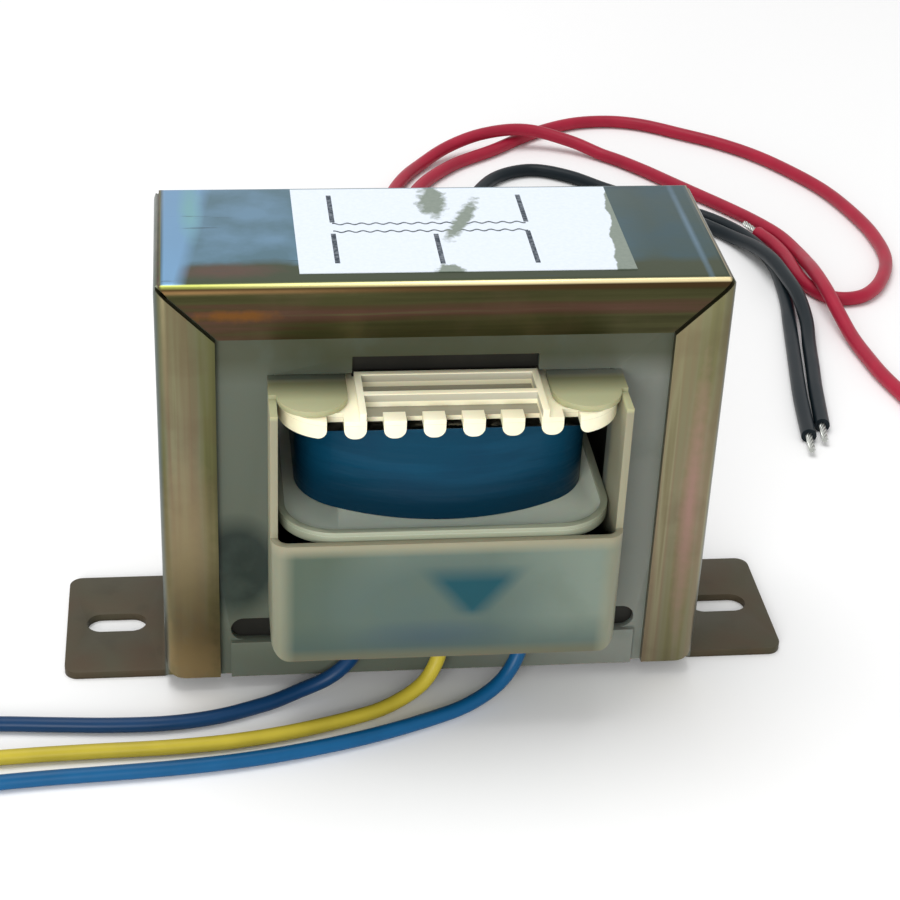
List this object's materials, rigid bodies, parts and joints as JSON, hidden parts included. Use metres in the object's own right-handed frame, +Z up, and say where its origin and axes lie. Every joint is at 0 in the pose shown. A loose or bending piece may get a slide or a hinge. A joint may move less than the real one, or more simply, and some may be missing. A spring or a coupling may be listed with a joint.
{
  "type": "laminated chassis transformer",
  "caption": "Open-frame mains transformer with a laminated core, a split bobbin under moulded covers, slotted feet and flying leads.",
  "frame": {"origin": "centre of the footprint, on the underside of the feet", "axes": "+X to the right along the slotted feet, +Y from the secondary side to the primary side, +Z up through the top of the frame"},
  "size_m": [0.2244, 0.24, 0.0667],
  "materials": {
    "frame_steel": "yellowish lacquered sheet steel, lightly rusted at the feet",
    "core_steel": "varnished silicon steel sheet edges",
    "cream_nylon": "cream moulded nylon",
    "enamelled_copper": "enamelled copper wire, shown as a smooth block",
    "winding_tape": "dark teal polyester winding tape",
    "milky_cover": "milky translucent moulding",
    "label_paper": "bare white label stock",
    "red_sleeve": "red cable sleeve",
    "black_sleeve": "black cable sleeve",
    "dark_blue_sleeve": "dark blue cable sleeve",
    "yellow_sleeve": "yellow cable sleeve",
    "light_blue_sleeve": "light blue cable sleeve",
    "tinned_copper": "tinned copper strands"
  },
  "bodies": {
    "root": {"frame": "frame_steel", "e_laminations": "core_steel", "i_laminations": "core_steel", "bobbin": "cream_nylon", "primary_winding": "enamelled_copper", "secondary_winding": "enamelled_copper", "primary_tape": "winding_tape", "secondary_tape": "winding_tape", "front_cover": "milky_cover", "rear_cover": "milky_cover", "label": "label_paper", "red_lead_a": "red_sleeve", "red_lead_b": "red_sleeve", "black_lead_a": "black_sleeve", "black_lead_b": "black_sleeve", "blue_lead_a": "dark_blue_sleeve", "yellow_lead": "yellow_sleeve", "blue_lead_b": "light_blue_sleeve", "red_end_a": "tinned_copper", "red_end_b": "tinned_copper", "black_end_a": "tinned_copper", "black_end_b": "tinned_copper", "blue_end_a": "tinned_copper", "yellow_end": "tinned_copper", "blue_end_b": "tinned_copper"}
  },
  "joints": []
}
